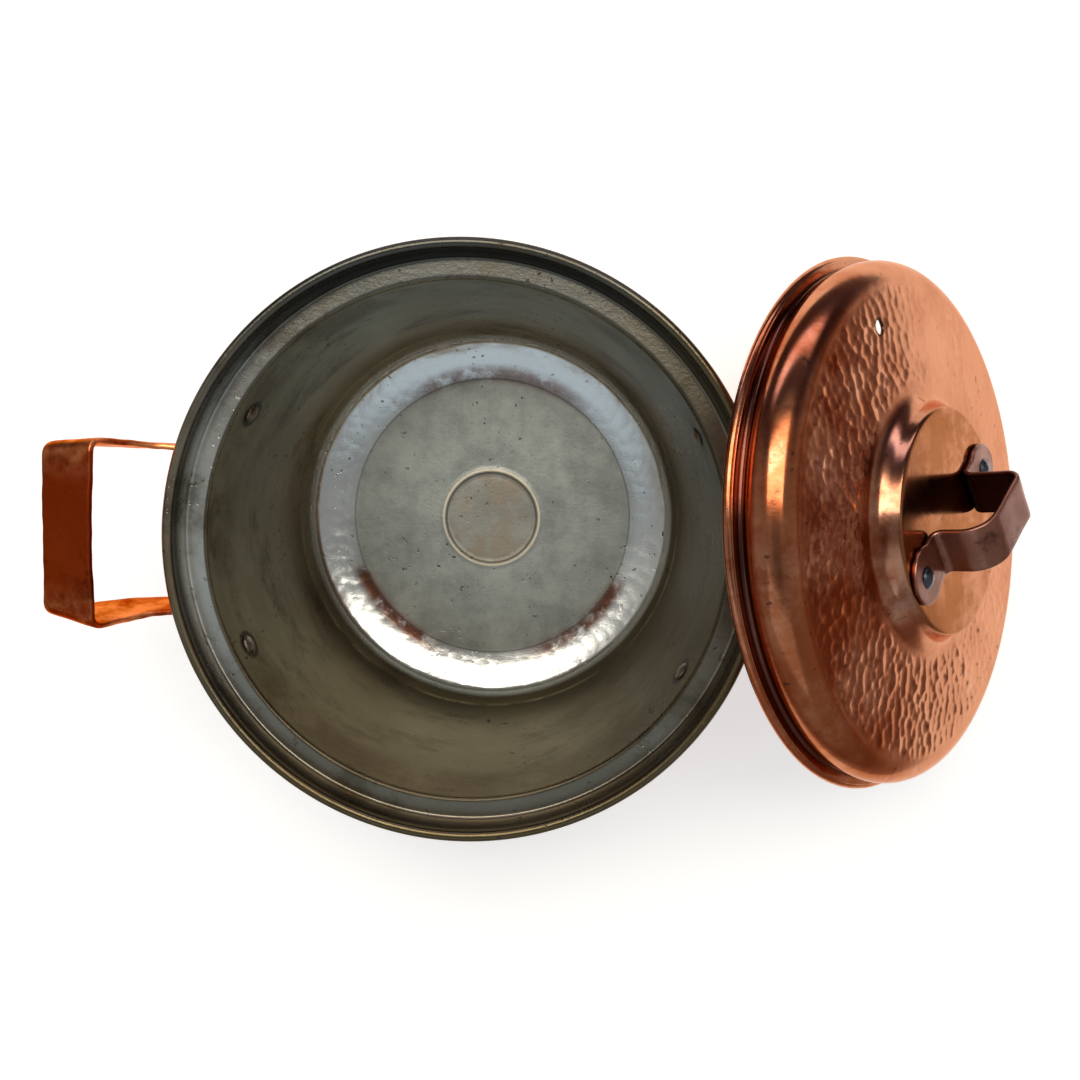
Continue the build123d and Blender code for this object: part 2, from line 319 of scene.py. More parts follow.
def ripple(theta, seed, waves, size):
    """A slow waver round a ring, as left by hand work."""
    rng = np.random.default_rng(seed)
    made = np.zeros_like(theta)
    for k in range(2, waves):
        made += rng.normal() / k * np.cos(k * theta + rng.uniform(0, 2 * pi))
    return size * made


def turned(name, profile, lift, turns, material_of, materials):
    """Closed turned mesh from a profile of (r, z) in mm that starts and ends on the axis.

    lift gives how far, in mm, each point of the profile is moved out of the surface at each angle.
    """
    profile = np.asarray(profile, float)
    along = np.gradient(profile, axis=0)
    along /= np.maximum(np.hypot(along[:, 0], along[:, 1]), 1e-9)[:, None]
    normal = np.stack([-along[:, 1], along[:, 0]], 1)
    theta = np.arange(turns) * 2 * pi / turns
    height = lift(profile, theta)
    r = profile[:, 0:1] + normal[:, 0:1] * height
    z = profile[:, 1:2] + normal[:, 1:2] * height
    xyz = np.stack([r * np.cos(theta), r * np.sin(theta), z + 0 * theta], 2)
    bands = len(profile) - 3
    first = xyz[0].mean(0)
    last = xyz[-1].mean(0)
    first[:2] = 0
    last[:2] = 0
    points = np.concatenate([first[None], xyz[1:-1].reshape(-1, 3), last[None]]) * MM
    i = np.arange(bands)[:, None]
    j = np.arange(turns)[None]
    a = 1 + i * turns + j
    b = 1 + i * turns + (j + 1) % turns
    quads = np.stack([a, a + turns, b + turns, b], 2).reshape(-1, 4)
    j = np.arange(turns)
    fan_a = np.stack([np.zeros(turns, int), 1 + j, 1 + (j + 1) % turns], 1)
    base = 1 + bands * turns
    end = len(points) - 1
    fan_b = np.stack([base + (j + 1) % turns, base + j, np.full(turns, end)], 1)
    mesh = bpy.data.meshes.new(name)
    mesh.from_pydata(points.tolist(), [], fan_a.tolist() + quads.tolist() + fan_b.tolist())
    marks = [material_of(profile[0])] * turns
    for k in range(bands):
        marks += [material_of((profile[k + 1] + profile[k + 2]) / 2)] * turns
    marks += [material_of(profile[-1])] * turns
    for material in materials:
        mesh.materials.append(material)
    mesh.polygons.foreach_set("material_index", marks)
    return smooth_piece(name, mesh)


def strap(name, middles, acrosses, widths, thick, material, round_edge, lump):
    """Bent strap: a rounded oblong section carried along a path, closed at both ends. All in mm.

    lump gives how far, in mm, a station's points are raised. The attribute underside_shade is 1 on the underside.
    """
    middles = np.asarray(middles, float)
    acrosses = np.asarray(acrosses, float)
    acrosses /= np.linalg.norm(acrosses, axis=1)[:, None]
    along = np.gradient(middles, axis=0)
    along -= acrosses * (along * acrosses).sum(1)[:, None]
    along /= np.linalg.norm(along, axis=1)[:, None]
    normals = np.cross(along, acrosses)
    rows = []
    for i, middle in enumerate(middles):
        half_w = widths[i] / 2
        half_t = thick / 2
        e = min(round_edge, half_t * 0.95, half_w * 0.9)
        flat = np.linspace(-half_w + e, half_w - e, FLAT_POINTS)
        corner = np.radians(np.linspace(0, 90, CORNER_POINTS))
        x = np.concatenate([
            flat, half_w - e + e * np.sin(corner[1:]), half_w - e + e * np.cos(corner[1:]),
            flat[::-1][1:], -half_w + e - e * np.sin(corner[1:]), -half_w + e - e * np.cos(corner[1:-1]),
        ])
        y = np.concatenate([
            np.full(FLAT_POINTS, half_t), half_t - e + e * np.cos(corner[1:]),
            -half_t + e - e * np.sin(corner[1:]), np.full(FLAT_POINTS - 1, -half_t),
            -half_t + e - e * np.cos(corner[1:]), half_t - e + e * np.sin(corner[1:-1]),
        ])
        rows.append(middle + acrosses[i] * x[:, None] + normals[i] * (y + lump(i, x))[:, None])
    rows = np.array(rows)
    stations, ring, _ = rows.shape
    points = np.concatenate([rows.reshape(-1, 3), rows[0].mean(0)[None], rows[-1].mean(0)[None]]) * MM
    i = np.arange(stations - 1)[:, None]
    j = np.arange(ring)[None]
    a = i * ring + j
    b = i * ring + (j + 1) % ring
    quads = np.stack([a, a + ring, b + ring, b], 2).reshape(-1, 4).tolist()
    near, far = stations * ring, stations * ring + 1
    base = (stations - 1) * ring
    for k in range(ring):
        quads.append([near, k, (k + 1) % ring])
        quads.append([far, base + (k + 1) % ring, base + k])
    mesh = bpy.data.meshes.new(name)
    mesh.from_pydata(points.tolist(), [], quads)
    underside = (y < -0.3 * thick).astype(float).tolist()
    hidden = mesh.attributes.new("underside_shade", "FLOAT", "POINT")
    hidden.data.foreach_set("value", underside * stations + [0.0, 0.0])
    mesh.materials.append(material)
    return smooth_piece(name, mesh)


# ------------------------------------------------------------------ materials
LEDGE_EDGE = 97.6
BEAD_EDGE = 105.9
LEDGE_BACK_PAINTED_SHADE = (0.07, 0.07, 0.063)
BEAD_FRONT_PAINTED_SHADE = (0.06, 0.055, 0.05)
WALL_SIDE_PAINTED_SHADE = (0.125, 0.090, 0.042)
RED_STAIN = (0.20, 0.085, 0.055)
FLOOR_CREASE_PAINTED_SHADE = (0.08, 0.07, 0.06)
RIDGE_WEAR_AND_PAINTED_HIGHLIGHT = (0.62, 0.50, 0.30)
GRIME = (0.085, 0.060, 0.030)
UNDER_LIP_DARK = (0.10, 0.065, 0.030)
ROUNDEL_BROWN = (0.36, 0.29, 0.22)
PIT_BLACK = (0.05, 0.045, 0.04)
SPECK = (0.07, 0.06, 0.045)
ROUNDEL_GROOVE_PAINTED_SHADE = (0.07, 0.05, 0.035)
ROUNDEL_PAINTED_HIGHLIGHT = (0.95, 0.80, 0.58)
RIVET_OXIDE_AND_PAINTED_SHADE = (0.035, 0.022, 0.014)
SEAT_CREASE_PAINTED_SHADE = (0.03, 0.026, 0.02)
HALO_IN = 0.0049
HALO_OUT = 0.0064


def tin_material():
    """Worn tin: grey floor, bright corner, olive brown wall, blackened bead; painted shade on the back of the
    ledge, the front of the bead, two sides of the wall and in the creases, oxide and painted shade round the
    rivets, painted highlights on the ridge and the roundel's ring.
    """
    g = Graph("tinned_inside")
    r, z, x, y = g.ring()
    cloud = g.noise(18, 5, 0.6)
    mottle = g.noise(75, 7, 0.75, offset=9.3)
    on_wall = g.ramp(z, 9.0, 13.0)
    on_floor = g.ramp(z, 3.0, 4.0, 1.0, 0.0)
    on_corner = g.ramp(r, FLOOR_R - 0.6, FLOOR_R + 0.8)
    on_ledge = g.times(g.ramp(z, SEAT_Z - 0.4, SEAT_Z - 0.05), g.ramp(r, LEDGE_EDGE - 0.4, LEDGE_EDGE + 0.4))
    on_bead = g.ramp(r, BEAD_EDGE - 0.7, BEAD_EDGE + 0.7)
    back = g.ramp(y, 0.02, 0.10)
    front = g.ramp(y, -0.02, -0.10)
    up = g.math("DIVIDE", y, g.times(r, MM))
    across = g.math("DIVIDE", x, g.times(r, MM))

    floor = g.mix(g.ramp(g.mix(0.6, cloud, mottle), 0.36, 0.64), (0.29, 0.305, 0.29), (0.44, 0.45, 0.42))
    wall = g.mix(g.noise(22, 5, 0.65, stretch=(1, 1, 3)), (0.20, 0.175, 0.115), (0.50, 0.46, 0.34))
    corner = g.mix(cloud, (0.60, 0.60, 0.58), (0.84, 0.84, 0.83))
    ledge = g.mix(cloud, (0.52, 0.52, 0.48), (0.74, 0.74, 0.71))
    bead = g.mix(g.noise(40, 5, 0.6), (0.09, 0.065, 0.035), (0.33, 0.27, 0.17))
    color = g.mix(on_corner, floor, corner)
    color = g.mix(on_wall, color, wall)
    color = g.mix(on_ledge, color, ledge)
    color = g.paint(color, bead, on_bead, g.ramp(cloud, 0.3, 0.6, 0.7, 1.0))
    # painted shade: the back of the ledge darkened towards +Y
    color = g.paint(color, LEDGE_BACK_PAINTED_SHADE, g.times(on_ledge, back), 0.92)
    # painted shade: the front of the bead darkened towards -Y
    color = g.paint(color, BEAD_FRONT_PAINTED_SHADE, g.times(on_bead, front), 0.7)

    # painted shade: the wall darker towards the front and towards the right
    painted_shade_wall_sides = g.math("MAXIMUM", g.ramp(up, -0.1, -0.85), g.ramp(across, 0.3, 0.9))
    color = g.paint(color, WALL_SIDE_PAINTED_SHADE, g.times(on_wall, painted_shade_wall_sides), 0.80)
    arcs = g.math("MAXIMUM", g.ramp(up, 0.70, 0.95, 0.0, 0.70), g.band(up, -0.93, -0.40, 0.06))
    blotches = g.ramp(g.noise(46, 7, 0.75, offset=3.1), 0.36, 0.52)
    stain = g.times(g.band(r, FLOOR_R - 0.9, 70.0, 2.2), blotches, arcs)
    color = g.paint(color, RED_STAIN, stain, g.ramp(z, 5.0, 7.0, 1.0, 0.0))
    # painted shade: a dark line along the crease at the edge of the floor
    crease = g.band(r, FLOOR_R - 0.35, FLOOR_R + 0.35, 0.25)
    color = g.paint(color, FLOOR_CREASE_PAINTED_SHADE, g.times(crease, on_floor), 0.55)
    # golden line along the ridge: worn tin and a painted highlight
    patchy = g.ramp(g.noise(30, 5, 0.7, offset=6.6), 0.40, 0.58)
    ridge_wear_and_highlight = g.times(g.band(z, RIDGE_Z - 0.9, RIDGE_Z + 1.1, 0.5), patchy)
    color = g.paint(color, RIDGE_WEAR_AND_PAINTED_HIGHLIGHT, ridge_wear_and_highlight, 0.7)
    grime = g.ramp(g.noise(24, 7, 0.72, stretch=(1, 1, 2.2), offset=8.4), 0.50, 0.66)
    color = g.paint(color, GRIME, g.times(grime, on_wall), 0.60)
    # patchy darker band on the wall just under the lip
    under_lip_patches = g.ramp(g.noise(17, 6, 0.7, offset=1.1), 0.40, 0.60)
    under_lip = g.times(g.band(z, SEAT_Z - 20, SEAT_Z - 2, 5.0), under_lip_patches, on_wall)
    color = g.paint(color, UNDER_LIP_DARK, under_lip, 0.65)

    roundel = g.times(g.ramp(r, ROUNDEL_R - 1.1, ROUNDEL_R - 0.3, 1.0, 0.0), on_floor)
    blot = g.ramp(g.noise(70, 5, 0.7, offset=1.7), 0.42, 0.62)
    color = g.paint(color, ROUNDEL_BROWN, roundel, g.ramp(blot, 0, 1, 0.35, 0.85))
    pit_fields = g.ramp(g.noise(28, 3, 0.5, offset=5.0), 0.5, 0.62)
    pits = g.times(g.ramp(g.noise(420, 2, 0.5), 0.66, 0.72), pit_fields)
    color = g.paint(color, PIT_BLACK, pits, 0.8)
    specks = g.ramp(g.noise(330, 3, 0.6, offset=4.4), 0.66, 0.72)
    color = g.paint(color, SPECK, specks, 0.65)
    # painted shade: a dark line in the groove inside the roundel's raised ring
    roundel_groove_shade = g.band(r, ROUNDEL_R - 1.7, ROUNDEL_R - 0.7, 0.35)
    color = g.paint(color, ROUNDEL_GROOVE_PAINTED_SHADE, g.times(roundel_groove_shade, on_floor), 0.7)
    # painted highlight: a golden line along the roundel's raised ring
    roundel_highlight_line = g.band(r, ROUNDEL_R - 0.3, ROUNDEL_R + 0.6, 0.25)
    color = g.paint(color, ROUNDEL_PAINTED_HIGHLIGHT, g.times(roundel_highlight_line, on_floor), 0.75)

    near = None
    reach = wall_r(RIVET_Z)
    for angle in rivet_angles.values():
        gap = g.distance((reach * cos(radians(angle)), reach * sin(radians(angle)), RIVET_Z))
        near = gap if near is None else g.math("MINIMUM", near, gap)
    # dark ring round each rivet head: oxide and painted shade
    rivet_oxide_and_shade = g.ramp(near, HALO_IN, HALO_OUT, 1.0, 0.0)
    color = g.paint(color, RIVET_OXIDE_AND_PAINTED_SHADE, rivet_oxide_and_shade, 0.85)
    # painted shade: dark lines in the creases at both edges of the ledge
    seat_crease_shade = g.math("MAXIMUM", g.band(r, LEDGE_EDGE - 0.6, LEDGE_EDGE + 0.1, 0.35),
                        g.band(r, BEAD_EDGE - 0.6, BEAD_EDGE + 0.4, 0.4))
    seat_crease_shade = g.times(seat_crease_shade, g.ramp(z, SEAT_Z - 3.0, SEAT_Z - 1.5))
    color = g.paint(color, SEAT_CREASE_PAINTED_SHADE, seat_crease_shade, 0.75)

    floor_to_corner = g.ramp(on_corner, 0, 1, 0.44, 0.24)
    rough = g.math("ADD", g.times(floor_to_corner, g.ramp(on_wall, 0, 1, 1.0, 0.0)), g.times(on_wall, 0.30))
    rough = g.math("ADD", rough, g.ramp(cloud, 0.3, 0.7, -0.04, 0.06))
    rough = g.math("ADD", rough, g.times(pits, 0.2), clamp=True)
    normal = g.bump(g.noise(160, 4, 0.6), 0.20)
    normal = g.bump(g.noise(700, 3, 0.7, offset=2.0), 0.30, 0.0002, normal)
    normal = g.bump(g.noise(90, 3, 0.7, stretch=(1, 14, 1)), 0.10, 0.0002, normal)
    normal = g.bump(g.noise(60, 3, 0.6, stretch=(1, 1, 12)), 0.12, 0.0002, normal)
    normal = g.bump(pits, 0.5, -0.0003, normal)
    return g.metal(color, rough, normal)


def pan_copper_material():
    """Plain copper with tarnish clouds, darker patches towards the foot and a darkened rolled rim."""
    g = Graph("pan_outside")
    z = g.ring()[1]
    color = g.mix(g.noise(16, 6, 0.62), (0.62, 0.26, 0.14), (0.85, 0.46, 0.31))
    tarnish = g.ramp(g.noise(9, 6, 0.7, offset=2.0), 0.48, 0.70)
    color = g.paint(color, (0.22, 0.09, 0.05), tarnish, 0.6)
    # darker patches towards the foot of the outside
    low_dark_patches = g.times(g.ramp(z, 0.0, 16.0, 1.0, 0.0), g.ramp(g.noise(30, 5, 0.7), 0.35, 0.65))
    color = g.paint(color, (0.09, 0.045, 0.03), low_dark_patches, 0.7)
    rolled = g.times(g.ramp(z, TOP - 5.5, TOP - 3.5), g.ramp(g.noise(40, 5, 0.6), 0.3, 0.6, 0.6, 1.0))
    color = g.paint(color, (0.17, 0.125, 0.075), rolled)
    normal = g.bump(g.noise(200, 4, 0.6), 0.12)
    normal = g.bump(g.noise(60, 3, 0.7, stretch=(1, 1, 10)), 0.10, normal=normal)
    return g.metal(color, g.ramp(g.noise(24, 5, 0.6, offset=4.0), 0.3, 0.7, 0.20, 0.38), normal)


def lid_copper_material():
    """Polished copper, redder and darker towards the raised side of the leaning lid: stains deepened there as
    painted shade, with painted shade on that side's shoulder and in the groove by the brim.
    """
    g = Graph("lid_polished_copper", own=True)
    r, z, x, y = g.ring()
    color = g.mix(g.noise(14, 5, 0.6), (0.52, 0.215, 0.120), (0.72, 0.360, 0.230))
    uphill = g.ramp(x, -0.075, 0.020, 1.0, 0.0)
    red = g.ramp(g.noise(30, 7, 0.72, offset=2.3), 0.40, 0.64)
    # red mottled stains, strongest on the raised side, where they also stand for painted shade
    color = g.paint(color, (0.30, 0.058, 0.018), red, g.ramp(uphill, 0, 1, 0.30, 0.95))
    # dark patches on the raised side only: stains and painted shade
    deep = g.times(g.ramp(g.noise(85, 6, 0.75, offset=5.2), 0.49, 0.60), uphill)
    color = g.paint(color, (0.24, 0.040, 0.012), deep, 0.65)
    pale = g.ramp(g.noise(52, 6, 0.7, offset=8.1), 0.56, 0.68)
    color = g.paint(color, (0.78, 0.47, 0.36), pale, 0.45)
    heat = g.ramp(g.noise(11, 5, 0.65, offset=7.7), 0.56, 0.74)
    color = g.paint(color, (0.30, 0.17, 0.18), heat, 0.30)
    # painted shade: the shoulder on the raised side darker and redder
    shoulder = g.times(g.ramp(r, 84.0, 90.0), uphill)
    color = g.paint(color, (0.56, 0.17, 0.065), shoulder, 0.45)
    on_top = g.ramp(z, BOSS_H - 1.2, BOSS_H - 0.4)
    blot = g.ramp(g.noise(44, 6, 0.7, offset=6.2), 0.40, 0.58)
    color = g.paint(color, (0.33, 0.115, 0.042), g.times(on_top, blot), 0.90)
    color = g.paint(color, (0.40, 0.15, 0.06), on_top, g.ramp(x, -0.02, 0.02, 0.45, 0.10))
    # painted shade: a dark line in the groove between the shoulder and the brim
    groove = g.times(g.band(r, 94.2, 96.8, 0.5), g.ramp(z, 5.8, 7.0, 1.0, 0.0))
    color = g.paint(color, (0.06, 0.025, 0.025), groove, 0.85)
    foot = g.times(g.band(r, BOSS_R - 0.8, BOSS_R + 1.0, 0.4), g.ramp(z, 25.0, 27.0))
    color = g.paint(color, (0.35, 0.16, 0.10), foot, 0.35)
    vent_edge = g.ramp(g.distance(VENT_AT), (VENT_R + 0.4) * MM, (VENT_R + 1.1) * MM, 1.0, 0.0)
    color = g.paint(color, (0.030, 0.014, 0.010), vent_edge, 0.9)
    spots = g.ramp(g.noise(260, 2, 0.5, offset=3.0), 0.68, 0.74)
    color = g.paint(color, (0.10, 0.04, 0.03), spots, 0.7)
    rough = g.ramp(g.noise(30, 5, 0.6, offset=4.0), 0.3, 0.7, 0.10, 0.19)
    rough = g.math("ADD", rough, g.times(red, 0.05))
    normal = g.bump(g.noise(240, 4, 0.6), 0.08)
    normal = g.bump(g.noise(75, 4, 0.7, offset=1.0), 0.10, 0.0004, normal)
    return g.metal(color, rough, normal, (1.0, 0.72, 0.58))


GRIP_HALF = 0.017
GRIP_END = 0.032


def strap_material():
    """Deep red copper with dark blots, paler where the grip bends into the legs from wear and a painted
    highlight, and pale edges from wear and a painted highlight.
    """
    g = Graph("satin_copper_strap")
    color = g.mix(g.noise(30, 6, 0.65), (0.26, 0.020, 0.0035), (0.50, 0.078, 0.016))
    from_middle = g.math("ABSOLUTE", g.node("SeparateXYZ", Vector=g.coords).outputs["Y"])
    # paler where the grip bends into the legs: wear and a painted highlight
    bend_wear_and_highlight = g.ramp(g.noise(70, 5, 0.6, offset=1.2), 0.35, 0.6)
    color = g.paint(color, (0.92, 0.33, 0.13), g.ramp(from_middle, GRIP_HALF, GRIP_END), bend_wear_and_highlight)
    dark = g.ramp(g.noise(38, 6, 0.7, offset=2.6), 0.48, 0.68)
    dark_here = g.ramp(from_middle, GRIP_HALF, GRIP_END, 0.85, 0.35)
    color = g.paint(color, (0.11, 0.008, 0.002), dark, dark_here)
    speck = g.ramp(g.noise(600, 3, 0.6), 0.60, 0.70)
    color = g.paint(color, (0.10, 0.03, 0.02), speck, 0.35)
    # pale sharp edges: edge wear and a painted highlight
    color = g.paint(color, (0.86, 0.40, 0.20), g.edges(0.54, 0.62), 0.6)
    normal = g.bump(g.noise(420, 4, 0.65), 0.20)
    normal = g.bump(g.noise(60, 3, 0.6, offset=1.0), 0.12, 0.0005, normal)
    rough = g.ramp(g.noise(50, 5, 0.6, offset=4.0), 0.3, 0.7, 0.28, 0.42)
    return g.metal(color, rough, normal, (1.0, 0.45, 0.25))


def dark_strap_material():
    """Dark copper, with painted shade making it almost black on the side that faces the lid, and pale edges
    from wear and a painted highlight.
    """
    g = Graph("dark_copper_strap")
    color = g.mix(g.noise(45, 6, 0.65), (0.20, 0.066, 0.040), (0.50, 0.235, 0.17))
    dark = g.ramp(g.noise(70, 6, 0.7, offset=2.6), 0.50, 0.66)
    color = g.paint(color, (0.05, 0.016, 0.012), dark, 0.7)
    # painted shade: the underside of the strap made almost black
    hidden = g.node("Attribute")
    hidden.attribute_name = "underside_shade"
    color = g.paint(color, (0.020, 0.004, 0.003), hidden.outputs["Fac"], 0.93)
    # pale sharp edges: edge wear and a painted highlight
    color = g.paint(color, (0.72, 0.42, 0.33), g.edges(0.54, 0.62), 0.6)
    rough = g.ramp(g.noise(60, 5, 0.6, offset=4.0), 0.3, 0.7, 0.22, 0.38)
    return g.metal(color, rough, g.bump(g.noise(420, 4, 0.65), 0.15))


def rivet_material(name, low, high, rim, rough_low, rough_high):
    """Clouded between two colours, with a third in the hollow round the head that stands for oxide and
    painted shade.
    """
    g = Graph(name)
    cloud = g.noise(260, 4, 0.6)
    # the hollow round the head darker: oxide and painted shade
    color = g.paint(g.mix(cloud, low, high), rim, g.edges(0.40, 0.49, 1.0, 0.0), 0.8)
    return g.metal(color, g.ramp(cloud, 0.3, 0.7, rough_low, rough_high), g.bump(g.noise(500, 3, 0.6), 0.25))


def wire_material():
    g = Graph("plain_wire")
    color = g.mix(g.noise(80, 4, 0.6), (0.30, 0.29, 0.28), (0.50, 0.48, 0.46))
    rough = g.ramp(g.noise(60, 4, 0.6), 0.3, 0.7, 0.35, 0.5)
    return g.metal(color, rough, g.bump(g.noise(300, 3, 0.6), 0.15))


tin = tin_material()
pan_copper = pan_copper_material()
lid_copper = lid_copper_material()
strap_copper = strap_material()
dark_copper = dark_strap_material()
pan_rivet = rivet_material("pan_rivet", low=(0.20, 0.16, 0.12), high=(0.45, 0.38, 0.31),
                           rim=(0.05, 0.035, 0.025), rough_low=0.28, rough_high=0.45)
lid_rivet = rivet_material("lid_rivet", low=(0.05, 0.055, 0.07), high=(0.16, 0.18, 0.23),
                           rim=(0.02, 0.02, 0.025), rough_low=0.20, rough_high=0.35)
wire = wire_material()


# ------------------------------------------------------------------ pan
PAN_STEP = 1.0
BEAD_STEP = 0.35
CURL_END = -82
TIN_END = 20
LIP_SPARE = 0.2
bead_at = (RIM - BEAD, TOP - BEAD)


def pan_run(depth, step):
    """One skin of the sheet, depth mm below the inner one, from the middle of the floor to the curl."""
    floor_z = SHEET - depth
    shift = depth / cos(LEAN_OUT)
    crease_r = FLOOR_R + depth * tan(radians(CREASE / 2))
    wide = CORNER_WIDE + depth
    tight = CORNER_TIGHT + depth
    wide_at = (crease_r - wide * sin(radians(CREASE)), floor_z + wide * cos(radians(CREASE)))
    mid = radians(MID_SLOPE)
    tight_at = (wide_at[0] + (wide - tight) * sin(mid), wide_at[1] - (wide - tight) * cos(mid))
    steep = arc(tight_at, tight, MID_SLOPE - 90, STEEP_SLOPE - 90, step * 0.5)
    lip_low = SEAT_Z - LIP
    lip_start = (wall_r(lip_low) + shift, lip_low)
    seat_z = SEAT_Z - depth
    knee = (wall_r(seat_z) + shift, seat_z)
    lip_end = (lip_start[0] + LIP - depth + LIP_SPARE, seat_z)
    foot = np.array((SEAT_R + SEAT_ROUND + depth, SEAT_Z + SEAT_ROUND))
    rise = np.array((bead_at[0] - BEAD + depth, bead_at[1])) - foot
    t = np.linspace(0, 1, 24)[:, None]
    rise_band = np.concatenate([foot[0] + rise[0] * smooth_step(t, 0, 1), foot[1] + rise[1] * t], 1)
    return join(
        line((0, floor_z), (crease_r, floor_z), step * 1.6),
        arc(wide_at, wide, CREASE - 90, MID_SLOPE - 90, step * 0.9),
        steep,
        line(steep[-1], (RIDGE_R + shift, RIDGE_Z), step * 0.8),
        line((RIDGE_R + shift, RIDGE_Z), lip_start, step * 1.3),
        bezier(lip_start, knee, lip_end, 7),
        line(lip_end, (SEAT_R, seat_z), 0.5),
        arc((SEAT_R, SEAT_Z + SEAT_ROUND), SEAT_ROUND + depth, -90, 0, 0.25),
        rise_band,
    )


inner_run = pan_run(0.0, PAN_STEP)
outer_run = pan_run(SHEET, PAN_STEP)
pan_profile = join(
    inner_run,
    arc(bead_at, BEAD, 180, CURL_END, BEAD_STEP),
    arc(bead_at, WIRE + WIRE_GAP, CURL_END, 180, BEAD_STEP),
    outer_run[::-1],
)
inner_count = len(inner_run)
pan_turns = 720


def pan_lift(profile, theta):
    """Hammer blows on both skins, the roundel's ring, the uneven corner and the ridge."""
    r, z = profile[:, 0], profile[:, 1]
    u = np.concatenate([[0], np.cumsum(np.hypot(np.diff(r), np.diff(z)))])
    inner = np.arange(len(r)) < inner_count
    lift = np.zeros((len(r), len(theta)))
    corner = hammer(u[inner], r[inner], theta, start=67, end=83, pitch=5.2, across=6.5, ball=60, seed=11)
    wall = hammer(u[inner], r[inner], theta, start=98, end=176, pitch=8.0, across=9.0, ball=260, seed=12,
                  uneven=0.02)
    lift[inner] = corner * 0.75 + wall * 0.6
    roundel = bulge(r, ROUNDEL_R, 0.50) * 0.62 - bulge(r, ROUNDEL_R - 1.6, 0.9) * 0.10
    on_floor = inner & (z < 4)
    low_down = inner & (z < 14)
    on_wall = inner & (r > 80)
    lift += (roundel * on_floor)[:, None]
    lift += (bulge(r, 81.0, 2.6) * low_down)[:, None] * ripple(theta, 19, 30, 0.35)[None]
    lift += (bulge(z, RIDGE_Z + 0.8, 0.7) * 0.10 * on_wall)[:, None]
    side = ~inner & (z < SEAT_Z - 2) & (z > 1.0)
    out_u = (u[-1] - u)[side]
    order = np.argsort(out_u)
    beaten = np.zeros((side.sum(), len(theta)))
    beaten[order] = hammer(out_u[order], r[side][order], theta, start=66, end=172, pitch=7.6, across=8.6,
                           ball=70, seed=21, uneven=0.06)
    lift[side] = -np.abs(beaten) * 0.9
    return lift


def skin_of(profile, edge):
    """Material number of a place on the profile: 0 before edge, 1 after it."""

    def side(point):
        gaps = np.hypot(profile[:, 0] - point[0], profile[:, 1] - point[1])
        return 0 if int(np.argmin(gaps)) < edge else 1

    return side


tin_edge = inner_count + len(arc(bead_at, BEAD, 180, TIN_END, BEAD_STEP))
pan = turned("pan_shell", pan_profile, pan_lift, pan_turns, skin_of(pan_profile, tin_edge), [tin, pan_copper])
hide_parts("pot_body")
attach(pan, "pot")


# ------------------------------------------------------------------ side handles
STRAP_T = 2.2
STRAP_W = 23.0
FOOT_Z = 89.5
FOOT_END = 36.0
FOOT_START = 22.0
FOOT_ROUND = 6.0
LEG_Y = 30.3
LEG_X = 100.5
LEG_BEND = 28.0
LEG_RISE = radians(70.0)
BAR_X = 140.1
BAR_Z = 121.0
BAR_BEND = 4.5
BAR_IN = 33.6
BAR_OUT = 31.0
WAIST = 1.0
FLARE = 0.4
SINK = 0.15
FOOT_GAP = 0.05
STRAP_EDGE = 0.75
END_HALF = 0.2
CROWN = 0.0012
WALL_TOP = SHEET / cos(LEAN_OUT)
leg_top_x = BAR_X - BAR_BEND * cos(LEG_RISE)
leg_top_z = BAR_Z - BAR_BEND * sin(LEG_RISE)


def on_wall(angle, z):
    """Middle of the strap where it lies on the outside of the wall."""
    reach = wall_r(z) + WALL_TOP + STRAP_T / 2 - SINK + FOOT_GAP
    a = radians(angle)
    return np.array((reach * cos(a), reach * sin(a), z))


# each of these gives the strap's two edges at a step from 0 to 1 along one part of it
def foot_pair(step):
    angle = FOOT_END + (FOOT_START - FOOT_END) * step
    return on_wall(angle, FOOT_Z + STRAP_W / 2), on_wall(angle, FOOT_Z - STRAP_W / 2)


def leg_pair(step):
    straight = (leg_top_z - FOOT_Z - LEG_BEND * (1 - cos(LEG_RISE))) / sin(LEG_RISE)
    length = LEG_BEND * LEG_RISE
    travel = step * (length + straight)
    angle = min(travel, length) / LEG_BEND
    beyond = max(travel - length, 0)
    spare = leg_top_x - LEG_X - LEG_BEND * sin(LEG_RISE) - straight * cos(LEG_RISE)
    x = LEG_X + LEG_BEND * sin(angle) + beyond * cos(angle) + spare * step
    z = FOOT_Z + LEG_BEND * (1 - cos(angle)) + beyond * sin(angle)
    half = STRAP_W / 2
    inner = (x - half * sin(angle), LEG_Y + (BAR_IN - LEG_Y) * step, z + half * cos(angle))
    outer = (x + half * sin(angle), LEG_Y + (BAR_OUT - LEG_Y) * step, z - half * cos(angle))
    return np.array(inner), np.array(outer)


def turn_pair(step):
    pair = []
    for start, end in zip(foot_pair(1), leg_pair(0)):
        a = radians(FOOT_START)
        knee = start + np.array((sin(a), -cos(a), 0)) * (start[1] - end[1]) / cos(a)
        pair.append(start * (1 - step) ** 2 + knee * 2 * step * (1 - step) + end * step ** 2)
    return pair[0], pair[1]


def corner_pair(step):
    inner, outer = leg_pair(1)
    a = radians(90 * step)
    up = np.array((cos(LEG_RISE), 0, sin(LEG_RISE)))
    move = up * BAR_BEND * sin(a) - np.array((0, BAR_BEND * (1 - cos(a)), 0))
    flare = (inner - outer) / np.linalg.norm(inner - outer) * FLARE * sin(a)
    return inner + move + flare, outer + move


